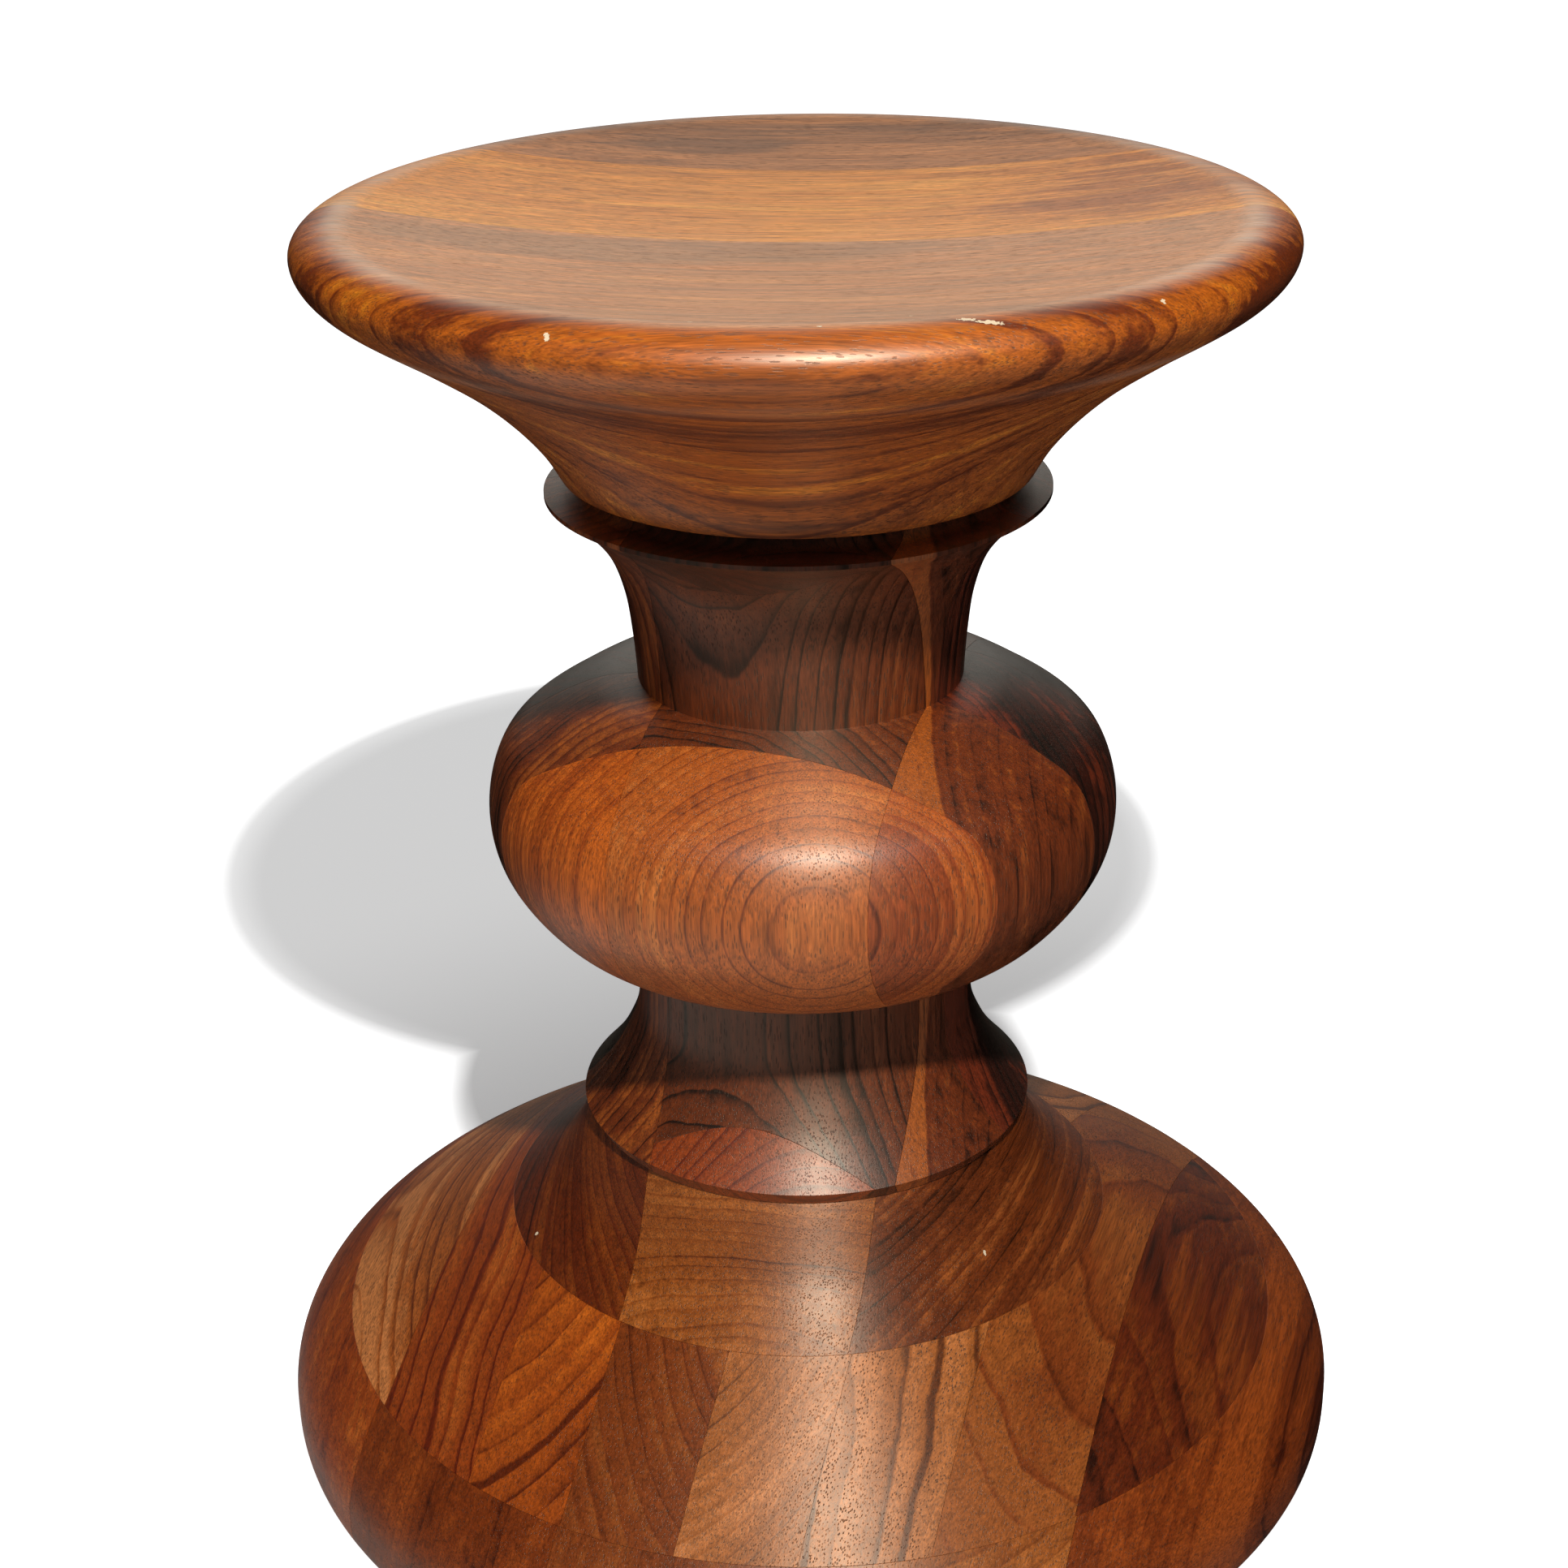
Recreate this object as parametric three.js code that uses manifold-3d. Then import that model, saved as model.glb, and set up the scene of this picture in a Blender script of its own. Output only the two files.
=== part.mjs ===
// Turned walnut stool: a dished seat block, a turned spindle and a flared bell base.
// Millimetres, +Z up, origin on the floor under the centre of the base.
// Every board and stave is a solid of its own, cut from the turned section that it belongs to.

import * as THREE from 'three';
import { mergeVertices } from 'three/addons/utils/BufferGeometryUtils.js';
import Module from 'manifold-3d';

const wasm = await Module();
wasm.setup();

// Driving heights, from the floor up
const BOTTOM_LAYER = 40.4;
const MIDDLE_LAYER = 32.3;
const TOP_LAYER = 34.7;
const SPOOL_HEIGHT = 59;
const BULB_HEIGHT = 82.6;
const NECK_HEIGHT = 63.2;
const SEAT_THICKNESS = 72.6;

// Driving radii, from the floor up
const BASE_RADIUS = 165;
const BULB_RADIUS = 93;
const SEAT_RADIUS = 137.5;

// Radii along the spindle and where it meets the base and the seat, as shares of BULB_RADIUS
const bellTopShare = 0.71;
const lipShare = 0.74;
const waistShare = 0.543;
const neckShare = 0.512;
const flangeShare = 0.777;
const seatFootShare = 0.727;

// Base rim and underside
const BASE_RIM_HEIGHT = 17;
const BASE_SHOULDER_HEIGHT = 28;
const BASE_SHOULDER_SETBACK = 4.2;
const FOOT_ROUNDING = 8;
const FOOT_ROUNDING_HEIGHT = 12;
const FOOT_RING_WIDTH = 22;
const FOOT_HOLLOW = 8;

// Spindle details
const LIP_CHAMFER = 0.7;
const LIP_HEIGHT = 4.1;
const LIP_UNDERCUT = 2.3;
const BULB_WIDEST_HEIGHT = 42.6;
const FLANGE_EDGE = 1.3;
const FLANGE_DROP = 6;
const FLANGE_COVE_WIDTH = 10.3;
const FLANGE_COVE_DEPTH = 5;

// Seat rim and dish
const SEAT_RIM_DROP = 7.5;
const SEAT_CREST_SETBACK = 12;
const SEAT_SHOULDER_DROP = 18.5;
const SEAT_SHOULDER_SETBACK = 7.9;
const SEAT_DISH_DEPTH = 10.2;
const CREST_TURN = THREE.MathUtils.degToRad(115);

// Dowels inside the two main joints
const DOWEL_RADIUS = 14;
const DOWEL_LENGTH = 60;

// Joint lines
const GLUE_GAP = 0.3;
const SMALLEST_PIECE_VOLUME = 60;
const OVERRUN = 5;
const SEAT_TURN = THREE.MathUtils.degToRad(-4);
const STAVE_TURN = THREE.MathUtils.degToRad(-17);

// Facets
const SECTORS = 40;
const ARC_STEPS = 4;
const SPAN_STEPS = 2;
const DISH_STEPS = 4;
const DOWEL_SECTORS = 24;
const MERGE_TOLERANCE = 1e-4;

// Levels that follow from the heights
const middleLevel = BOTTOM_LAYER;
const topLevel = middleLevel + MIDDLE_LAYER;
const spindleLevel = topLevel + TOP_LAYER;
const bulbLevel = spindleLevel + SPOOL_HEIGHT;
const neckLevel = bulbLevel + BULB_HEIGHT;
const seatLevel = neckLevel + NECK_HEIGHT;
const crestLevel = seatLevel + SEAT_THICKNESS;

// Radii that follow from the bulb
const bellTopRadius = BULB_RADIUS * bellTopShare;
const lipRadius = BULB_RADIUS * lipShare;
const waistRadius = BULB_RADIUS * waistShare;
const neckRadius = BULB_RADIUS * neckShare;
const flangeRadius = BULB_RADIUS * flangeShare;
const seatFootRadius = BULB_RADIUS * seatFootShare;

// Outline stretches: each row is [share of the run inwards or outwards, share of the rise]
const bellCurveShares = [[0.11, 0.255], [0.26, 0.415], [0.47, 0.565], [0.72, 0.75]];
const spoolCurveShares = [[0, 0.262], [0.06, 0.49], [0.322, 0.7], [0.628, 0.858]];
const bulbUnderShares = [[0.318, 0.073], [0.647, 0.26], [0.918, 0.624]];
const bulbOverShares = [[0.1, 0.45], [0.375, 0.708], [0.727, 0.925]];
const neckCurveShares = [[0.04, 0.233], [0.12, 0.483], [0.3, 0.707], [0.62, 0.884]];
const seatCurveShares = [[0.098, 0.182], [0.256, 0.387], [0.46, 0.591], [0.731, 0.805]];

// Seams across each section, as shares of the radius that they are measured on
const seatSeamShares = [0, 0.54];
const columnSeamShares = [-0.323, 0.462];
const rowSeamShares = [-0.618, -0.172, 0.29, 0.69];
const topSeamShares = [-0.194, 0.227];
const middleSeamShares = [-0.618, -0.385, -0.188, 0.024, 0.233, 0.442, 0.652];
const bottomSeamShares = [-0.633, -0.191, 0.232, 0.655];

// Board colours, from the darkest heartwood to the palest streaks
const walnut = {
  dark: 0x4a2a18,
  brown: 0x6b3e22,
  russet: 0x7d4525,
  amber: 0x9a5a26,
  golden: 0xa9743f,
  sheen: 0x8a5f45,
};
const boardRoughness = 0.42;

function point(radius, height) {
  return new THREE.Vector2(radius, height);
}

// A smooth outline between two points, through the places that the shares give.
function stretch(from, to, shares) {
  const inner = shares.map(([across, up]) => point(
    THREE.MathUtils.lerp(from.x, to.x, across),
    THREE.MathUtils.lerp(from.y, to.y, up),
  ));
  const through = [from, ...inner, to];
  return new THREE.SplineCurve(through).getPoints(SPAN_STEPS * (through.length - 1));
}

// A stretch of an ellipse, from one turn to another.
function ellipseArc(centre, halfWidth, halfHeight, startTurn, endTurn) {
  const clockwise = endTurn < startTurn;
  const curve = new THREE.EllipseCurve(
    centre.x, centre.y, halfWidth, halfHeight, startTurn, endTurn, clockwise, 0);
  return curve.getPoints(ARC_STEPS);
}

// A soft corner that leaves one point along the first corner line and arrives upright.
function softCorner(from, corner, to) {
  return new THREE.QuadraticBezierCurve(from, corner, to).getPoints(ARC_STEPS / 2);
}

// A shallow dish from its centre to its edge.
function dishArc(centreLevel, edge) {
  return Array.from({ length: DISH_STEPS }, (unused, i) => {
    const share = i / DISH_STEPS;
    const rise = (edge.y - centreLevel) * share * share;
    return point(edge.x * share, centreLevel + rise);
  });
}

function withoutRepeats(outline) {
  return outline.filter((p, i) => i === 0 || p.distanceTo(outline[i - 1]) > MERGE_TOLERANCE);
}

// Manifold solids from three.js geometry, and back
function solidOf(geometry) {
  geometry.deleteAttribute('normal');
  geometry.deleteAttribute('uv');
  const merged = mergeVertices(geometry, MERGE_TOLERANCE);
  const corners = merged.index.array;
  const triVerts = [];
  for (let i = 0; i < corners.length; i += 3) {
    const [a, b, c] = corners.slice(i, i + 3);
    if (a !== b && b !== c && c !== a) triVerts.push(a, b, c);
  }
  return new wasm.Manifold(new wasm.Mesh({
    numProp: 3,
    vertProperties: merged.attributes.position.array,
    triVerts: new Uint32Array(triVerts),
  }));
}

function geometryOf(solid) {
  const mesh = solid.getMesh();
  const geometry = new THREE.BufferGeometry();
  geometry.setAttribute('position', new THREE.BufferAttribute(mesh.vertProperties, 3));
  geometry.setIndex(new THREE.BufferAttribute(mesh.triVerts, 1));
  geometry.computeVertexNormals();
  return geometry;
}

// A turned solid from an outline that starts and ends on the axis, listed from the floor up.
function turned(outline) {
  const geometry = new THREE.LatheGeometry(withoutRepeats(outline), SECTORS);
  geometry.rotateX(Math.PI / 2);
  return solidOf(geometry);
}

// An upright block between two seams each way, on a grid turned about the axis.
function gridBlock(turn, [left, right], [front, back], [low, high]) {
  const geometry = new THREE.BoxGeometry(right - left, back - front, high - low);
  geometry.translate((left + right) / 2, (front + back) / 2, (low + high) / 2);
  geometry.rotateZ(turn);
  return solidOf(geometry);
}

// The bays between seams: half a glue gap is left at each seam, and the outer bays run clear.
function baysBetween(seams, reach) {
  const edges = [-reach, ...seams, reach];
  return edges.slice(1).map((edge, i) => [
    i === 0 ? edges[i] : edges[i] + GLUE_GAP / 2,
    i === edges.length - 2 ? edge : edge - GLUE_GAP / 2,
  ]);
}

function seamsOn(radius, shares) {
  return shares.map((share) => share * radius);
}

function dowelAt(level, clearance) {
  const radius = DOWEL_RADIUS + clearance;
  const length = DOWEL_LENGTH + 2 * clearance;
  const geometry = new THREE.CylinderGeometry(radius, radius, length, DOWEL_SECTORS);
  geometry.rotateX(Math.PI / 2);
  geometry.translate(0, 0, level);
  return solidOf(geometry);
}

// The whole bell, before it is parted into layers and boards
function bellSolid() {
  const footOuter = BASE_RADIUS - FOOT_ROUNDING;
  const footInner = footOuter - FOOT_RING_WIDTH;
  const footCentre = point(footOuter, FOOT_ROUNDING_HEIGHT);
  const rim = point(BASE_RADIUS, BASE_RIM_HEIGHT);
  const shoulder = point(BASE_RADIUS - BASE_SHOULDER_SETBACK, BASE_SHOULDER_HEIGHT);
  const top = point(bellTopRadius, spindleLevel - GLUE_GAP / 2);
  const flareDown = stretch(top, shoulder, bellCurveShares);
  return turned([
    ...dishArc(FOOT_HOLLOW, point(footInner, 0)),
    point(footInner, 0),
    ...ellipseArc(footCentre, FOOT_ROUNDING, FOOT_ROUNDING_HEIGHT, -Math.PI / 2, 0),
    rim,
    ...softCorner(shoulder, point(BASE_RADIUS, (rim.y + shoulder.y) / 2), rim).reverse(),
    ...flareDown.reverse(),
    point(0, top.y),
  ]);
}

// The whole spindle: spool with its lip, bulb, neck and flange
function spindleSolid() {
  const floor = spindleLevel + GLUE_GAP / 2;
  const lipTop = spindleLevel + LIP_HEIGHT;
  const lipEdge = point(lipRadius - LIP_CHAMFER, lipTop + LIP_CHAMFER);
  const waist = point(waistRadius, bulbLevel);
  const widest = point(BULB_RADIUS, bulbLevel + BULB_WIDEST_HEIGHT);
  const neckFoot = point(neckRadius, neckLevel);
  const flangeTop = seatLevel - FLANGE_DROP;
  const flangeUnder = point(flangeRadius, flangeTop - FLANGE_EDGE);
  const coveInner = flangeRadius - FLANGE_COVE_WIDTH;
  const coveFoot = point(coveInner + FLANGE_COVE_DEPTH, seatLevel - FLANGE_COVE_DEPTH);
  const top = seatLevel - GLUE_GAP / 2;
  return turned([
    point(0, floor),
    point(lipRadius - LIP_UNDERCUT, floor),
    point(lipRadius, lipTop),
    ...stretch(waist, lipEdge, spoolCurveShares).reverse(),
    ...stretch(waist, widest, bulbUnderShares),
    ...stretch(widest, neckFoot, bulbOverShares),
    ...stretch(neckFoot, flangeUnder, neckCurveShares),
    point(flangeRadius, flangeTop),
    coveFoot,
    point(coveInner, top),
    point(0, top),
  ]);
}

// The whole seat block with its rolled rim and dished top
function seatSolid() {
  const foot = point(seatFootRadius, seatLevel + GLUE_GAP / 2);
  const rim = point(SEAT_RADIUS, crestLevel - SEAT_RIM_DROP);
  const shoulder = point(SEAT_RADIUS - SEAT_SHOULDER_SETBACK, crestLevel - SEAT_SHOULDER_DROP);
  const crestCentre = point(SEAT_RADIUS - SEAT_CREST_SETBACK, rim.y);
  const crest = ellipseArc(crestCentre, SEAT_CREST_SETBACK, SEAT_RIM_DROP, 0, CREST_TURN);
  const dishEdge = crest.at(-1);
  return turned([
    point(0, foot.y),
    ...stretch(foot, shoulder, seatCurveShares),
    ...softCorner(shoulder, point(SEAT_RADIUS, (shoulder.y + rim.y) / 2), rim),
    ...crest,
    ...dishArc(crestLevel - SEAT_DISH_DEPTH, dishEdge).reverse(),
  ]);
}

// Finished pieces, by name
const pieces = [];

function addPiece(name, solid, colour) {
  pieces.push({ name, solid, colour });
}

// Seat: boards that run from side to side, front to back in order
function addSeatBoards() {
  const block = seatSolid().subtract(dowelAt(seatLevel, GLUE_GAP));
  const reach = SEAT_RADIUS + OVERRUN;
  const bays = baysBetween(seamsOn(SEAT_RADIUS, seatSeamShares), reach);
  const levels = [seatLevel, crestLevel + OVERRUN];
  const names = ['seat_front_board', 'seat_middle_board', 'seat_back_board'];
  const colours = [walnut.russet, walnut.golden, walnut.brown];
  bays.forEach((bay, i) => {
    const cutter = gridBlock(SEAT_TURN, [-reach, reach], bay, levels);
    addPiece(names[i], block.intersect(cutter), colours[i]);
  });
}

// One bell layer, parted into boards that run from front to back, left to right in order
function addBellLayer(block, layer, [low, high], seamShares, colours) {
  const reach = BASE_RADIUS + OVERRUN;
  const bays = baysBetween(seamsOn(BASE_RADIUS, seamShares), reach);
  bays.forEach((bay, i) => {
    const cutter = gridBlock(STAVE_TURN, bay, [-reach, reach], [low, high]);
    addPiece(`bell_${layer}_board_${i + 1}`, block.intersect(cutter), colours[i % colours.length]);
  });
}

function addBellBoards() {
  const block = bellSolid().subtract(dowelAt(spindleLevel, GLUE_GAP));
  const half = GLUE_GAP / 2;
  const bottomLevels = [-OVERRUN, middleLevel - half];
  const middleLevels = [middleLevel + half, topLevel - half];
  const topLevels = [topLevel + half, spindleLevel];
  const { dark, brown, russet, amber, sheen } = walnut;
  addBellLayer(block, 'bottom', bottomLevels, bottomSeamShares, [russet, brown, brown, sheen]);
  addBellLayer(block, 'middle', middleLevels, middleSeamShares, [brown, dark, amber, russet, sheen]);
  addBellLayer(block, 'top', topLevels, topSeamShares, [brown, sheen, russet]);
}

// Spindle: upright staves in columns from left to right and rows from front to back.
// The outermost blocks are glued on round the bulb only, but for the middle of the front,
// whose block runs the full length and is turned away at the neck and the waist.
const columnNames = ['left', 'middle', 'right'];
const rowNames = ['front', 'fore', 'core', 'rear', 'back'];
const staveColours = [
  [walnut.amber, walnut.brown, walnut.russet, walnut.brown, walnut.dark],
  [walnut.russet, walnut.brown, walnut.brown, walnut.russet, walnut.brown],
  [walnut.brown, walnut.amber, walnut.dark, walnut.brown, walnut.russet],
];

function staveCutter(column, row, columns, rows) {
  const full = [spindleLevel - OVERRUN, seatLevel + OVERRUN];
  const bulb = [bulbLevel, neckLevel];
  const lastRow = rows.length - 1;
  const runsThrough = row > 0 && row < lastRow || columnNames[column] === 'middle' && row === 0;
  if (!runsThrough) return gridBlock(STAVE_TURN, columns[column], rows[row], bulb);
  const inner = gridBlock(STAVE_TURN, columns[column], rows[row], full);
  const frontEnds = row === 1 && columnNames[column] !== 'middle';
  const backEnds = row === lastRow - 1;
  if (!frontEnds && !backEnds) return inner;
  const wide = frontEnds ? [rows[0][0], rows[row][1]] : [rows[row][0], rows[lastRow][1]];
  const below = gridBlock(STAVE_TURN, columns[column], wide, [full[0], bulb[0] - GLUE_GAP]);
  const above = gridBlock(STAVE_TURN, columns[column], wide, [bulb[1] + GLUE_GAP, full[1]]);
  return inner.add(below).add(above);
}

function islandName(solid) {
  const { min, max } = solid.boundingBox();
  const middle = (min[2] + max[2]) / 2;
  if (middle > neckLevel) return '_flange';
  return middle < bulbLevel ? '_lip' : '_bulb';
}

function addStaves() {
  const dowels = dowelAt(spindleLevel, GLUE_GAP).add(dowelAt(seatLevel, GLUE_GAP));
  const block = spindleSolid().subtract(dowels);
  const reach = BULB_RADIUS + OVERRUN;
  const columns = baysBetween(seamsOn(BULB_RADIUS, columnSeamShares), reach);
  const rows = baysBetween(seamsOn(BULB_RADIUS, rowSeamShares), reach);
  columns.forEach((unusedColumn, column) => rows.forEach((unusedRow, row) => {
    const stave = block.intersect(staveCutter(column, row, columns, rows));
    const islands = stave.decompose().filter((part) => part.volume() > SMALLEST_PIECE_VOLUME);
    islands.forEach((island) => {
      const ending = islands.length > 1 ? islandName(island) : '';
      const name = `stave_${columnNames[column]}_${rowNames[row]}${ending}`;
      addPiece(name, island, staveColours[column][row]);
    });
  }));
}

function addDowels() {
  addPiece('base_dowel', dowelAt(spindleLevel, 0), walnut.golden);
  addPiece('seat_dowel', dowelAt(seatLevel, 0), walnut.golden);
}

addSeatBoards();
addStaves();
addBellBoards();
addDowels();

const stool = new THREE.Group();
for (const { name, solid, colour } of pieces) {
  const material = new THREE.MeshStandardMaterial({
    color: colour, roughness: boardRoughness, metalness: 0,
  });
  const mesh = new THREE.Mesh(geometryOf(solid), material);
  mesh.name = name;
  stool.add(mesh);
}

export default stool;
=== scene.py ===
# Turned walnut stool: finished boards in procedural walnut, the studio and the camera.
# Lengths are in millimetres until MM turns them into metres.

import math

import bpy
from mathutils import Matrix, Vector


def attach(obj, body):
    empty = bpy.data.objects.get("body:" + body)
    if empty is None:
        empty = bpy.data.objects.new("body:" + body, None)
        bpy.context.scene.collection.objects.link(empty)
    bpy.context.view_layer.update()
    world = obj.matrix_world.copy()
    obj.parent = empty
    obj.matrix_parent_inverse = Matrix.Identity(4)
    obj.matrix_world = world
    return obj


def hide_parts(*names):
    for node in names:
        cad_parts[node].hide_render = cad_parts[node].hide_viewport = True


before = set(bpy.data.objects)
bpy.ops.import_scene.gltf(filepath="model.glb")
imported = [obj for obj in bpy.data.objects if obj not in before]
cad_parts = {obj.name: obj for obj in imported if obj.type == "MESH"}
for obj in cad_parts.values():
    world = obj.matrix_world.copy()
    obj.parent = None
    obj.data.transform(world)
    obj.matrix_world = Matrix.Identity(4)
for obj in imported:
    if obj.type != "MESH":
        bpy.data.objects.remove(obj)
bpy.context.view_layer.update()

MM = 0.001

# Driving heights, from the floor up
BOTTOM_LAYER = 40.4
MIDDLE_LAYER = 32.3
TOP_LAYER = 34.7
SPOOL_HEIGHT = 59
BULB_HEIGHT = 82.6
NECK_HEIGHT = 63.2
SEAT_THICKNESS = 72.6

# Driving radii, and the shares of the bulb's radius along the spindle
BASE_RADIUS = 165
BULB_RADIUS = 93
SEAT_RADIUS = 137.5
BELL_TOP_SHARE = 0.71
LIP_SHARE = 0.74
WAIST_SHARE = 0.543
NECK_SHARE = 0.512
FLANGE_SHARE = 0.777
SEAT_FOOT_SHARE = 0.727

# Base rim and underside
BASE_RIM_HEIGHT = 17
BASE_SHOULDER_HEIGHT = 28
BASE_SHOULDER_SETBACK = 4.2
FOOT_ROUNDING = 8
FOOT_ROUNDING_HEIGHT = 12
FOOT_RING_WIDTH = 22
FOOT_HOLLOW = 8

# Spindle details
LIP_CHAMFER = 0.7
LIP_HEIGHT = 4.1
LIP_UNDERCUT = 2.3
BULB_WIDEST_HEIGHT = 42.6
FLANGE_EDGE = 1.3
FLANGE_DROP = 6
FLANGE_COVE_WIDTH = 10.3
FLANGE_COVE_DEPTH = 5

# Seat rim and dish
SEAT_RIM_DROP = 7.5
SEAT_CREST_SETBACK = 12
SEAT_SHOULDER_DROP = 18.5
SEAT_SHOULDER_SETBACK = 7.9
SEAT_DISH_DEPTH = 10.2
CREST_TURN = math.radians(115)

# Dowels, joint lines and the turn of the two grids
DOWEL_RADIUS = 14
DOWEL_LENGTH = 60
DOWEL_CLEARANCE = 0.3
SEAM = 0.1
OVERRUN = 5
SEAT_TURN = math.radians(-4)
STAVE_TURN = math.radians(-17)

# Fineness of the turned surfaces
SECTORS = 256
SPAN_STEPS = 12
ARC_STEPS = 16
DISH_STEPS = 26
DOWEL_SECTORS = 48
SAME_POINT = SEAM / 10
CREASE = math.radians(32)

# Levels and radii that follow
middle_level = BOTTOM_LAYER
top_level = middle_level + MIDDLE_LAYER
spindle_level = top_level + TOP_LAYER
bulb_level = spindle_level + SPOOL_HEIGHT
neck_level = bulb_level + BULB_HEIGHT
seat_level = neck_level + NECK_HEIGHT
crest_level = seat_level + SEAT_THICKNESS
bell_top_radius = BULB_RADIUS * BELL_TOP_SHARE
lip_radius = BULB_RADIUS * LIP_SHARE
waist_radius = BULB_RADIUS * WAIST_SHARE
neck_radius = BULB_RADIUS * NECK_SHARE
flange_radius = BULB_RADIUS * FLANGE_SHARE
seat_foot_radius = BULB_RADIUS * SEAT_FOOT_SHARE

# Outline stretches: each row is (share of the run inwards or outwards, share of the rise)
BELL_CURVE_SHARES = [(0.11, 0.255), (0.26, 0.415), (0.47, 0.565), (0.72, 0.75)]
SPOOL_CURVE_SHARES = [(0, 0.262), (0.06, 0.49), (0.322, 0.7), (0.628, 0.858)]
BULB_UNDER_SHARES = [(0.318, 0.073), (0.647, 0.26), (0.918, 0.624)]
BULB_OVER_SHARES = [(0.1, 0.45), (0.375, 0.708), (0.727, 0.925)]
NECK_CURVE_SHARES = [(0.04, 0.233), (0.12, 0.483), (0.3, 0.707), (0.62, 0.884)]
SEAT_CURVE_SHARES = [(0.098, 0.182), (0.256, 0.387), (0.46, 0.591), (0.731, 0.805)]

# Seams across each section, as shares of the radius that they are measured on
SEAT_SEAM_SHARES = [0, 0.54]
COLUMN_SEAM_SHARES = [-0.323, 0.462]
ROW_SEAM_SHARES = [-0.618, -0.172, 0.29, 0.69]
TOP_SEAM_SHARES = [-0.194, 0.227]
MIDDLE_SEAM_SHARES = [-0.618, -0.385, -0.188, 0.024, 0.233, 0.442, 0.652]
BOTTOM_SEAM_SHARES = [-0.633, -0.191, 0.232, 0.655]


# Outlines

def mixed(a, b, share):
    return a + (b - a) * share


def stretch(start, end, shares, leaving=None, arriving=None):
    """A smooth outline between two points, through the places that the shares give. It can leave
    the first point, or arrive at the last one, in a given direction."""
    inner = [(mixed(start[0], end[0], x), mixed(start[1], end[1], y)) for x, y in shares]
    knots = [Vector(knot) for knot in [start, *inner, end]]
    points = []
    for i in range(len(knots) - 1):
        before, a, b, after = (knots[max(i - 1, 0)], knots[i], knots[i + 1],
                               knots[min(i + 2, len(knots) - 1)])
        leave, arrive = (b - before) / 2, (after - a) / 2
        if i == 0 and leaving:
            leave = Vector(leaving).normalized() * (b - a).length
        if i == len(knots) - 2 and arriving:
            arrive = Vector(arriving).normalized() * (b - a).length
        for step in range(SPAN_STEPS):
            t = step / SPAN_STEPS
            cubic = (2 * a - 2 * b + leave + arrive) * t ** 3
            square = (3 * b - 3 * a - 2 * leave - arrive) * t ** 2
            points.append(cubic + square + leave * t + a)
    return points + [knots[-1]]


def ellipse_arc(centre, half_width, half_height, start_turn, end_turn):
    turns = [mixed(start_turn, end_turn, i / ARC_STEPS) for i in range(ARC_STEPS + 1)]
    return [Vector((centre[0] + half_width * math.cos(turn),
                    centre[1] + half_height * math.sin(turn))) for turn in turns]


def soft_corner(start, corner, end):
    start, corner, end = Vector(start), Vector(corner), Vector(end)
    shares = [i / ARC_STEPS for i in range(ARC_STEPS + 1)]
    return [start.lerp(corner, t).lerp(corner.lerp(end, t), t) for t in shares]


def dish_arc(centre_level, edge):
    shares = [i / DISH_STEPS for i in range(DISH_STEPS)]
    return [Vector((edge[0] * s, mixed(centre_level, edge[1], s * s))) for s in shares]


def bell_outline():
    foot_outer = BASE_RADIUS - FOOT_ROUNDING
    foot_inner = (foot_outer - FOOT_RING_WIDTH, 0)
    rim = (BASE_RADIUS, BASE_RIM_HEIGHT)
    shoulder = (BASE_RADIUS - BASE_SHOULDER_SETBACK, BASE_SHOULDER_HEIGHT)
    shoulder_corner = (BASE_RADIUS, (BASE_RIM_HEIGHT + BASE_SHOULDER_HEIGHT) / 2)
    rim_side = (shoulder_corner[0] - shoulder[0], shoulder_corner[1] - shoulder[1])
    top = (bell_top_radius, spindle_level - SEAM / 2)
    foot_centre = (foot_outer, FOOT_ROUNDING_HEIGHT)
    return [
        *dish_arc(FOOT_HOLLOW, foot_inner),
        foot_inner,
        *ellipse_arc(foot_centre, FOOT_ROUNDING, FOOT_ROUNDING_HEIGHT, -math.pi / 2, 0),
        *soft_corner(rim, shoulder_corner, shoulder),
        *reversed(stretch(top, shoulder, BELL_CURVE_SHARES, arriving=rim_side)),
        (0, top[1]),
    ]


def spindle_outline():
    floor = spindle_level + SEAM / 2
    lip_top = spindle_level + LIP_HEIGHT
    lip_edge = (lip_radius - LIP_CHAMFER, lip_top + LIP_CHAMFER)
    waist = (waist_radius, bulb_level)
    widest = (BULB_RADIUS, bulb_level + BULB_WIDEST_HEIGHT)
    neck_foot = (neck_radius, neck_level)
    flange_top = seat_level - FLANGE_DROP
    flange_under = (flange_radius, flange_top - FLANGE_EDGE)
    cove_inner = flange_radius - FLANGE_COVE_WIDTH
    top = seat_level - SEAM / 2
    cove_foot = (cove_inner + FLANGE_COVE_DEPTH, seat_level - FLANGE_COVE_DEPTH)
    cove = soft_corner(cove_foot, (cove_inner, cove_foot[1]), (cove_inner, top))
    return [
        (0, floor),
        (lip_radius - LIP_UNDERCUT, floor),
        (lip_radius, lip_top),
        *reversed(stretch(waist, lip_edge, SPOOL_CURVE_SHARES)),
        *stretch(waist, widest, BULB_UNDER_SHARES, arriving=(0, 1)),
        *stretch(widest, neck_foot, BULB_OVER_SHARES, leaving=(0, 1)),
        *stretch(neck_foot, flange_under, NECK_CURVE_SHARES),
        (flange_radius, flange_top),
        *cove,
        (0, top),
    ]


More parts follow.
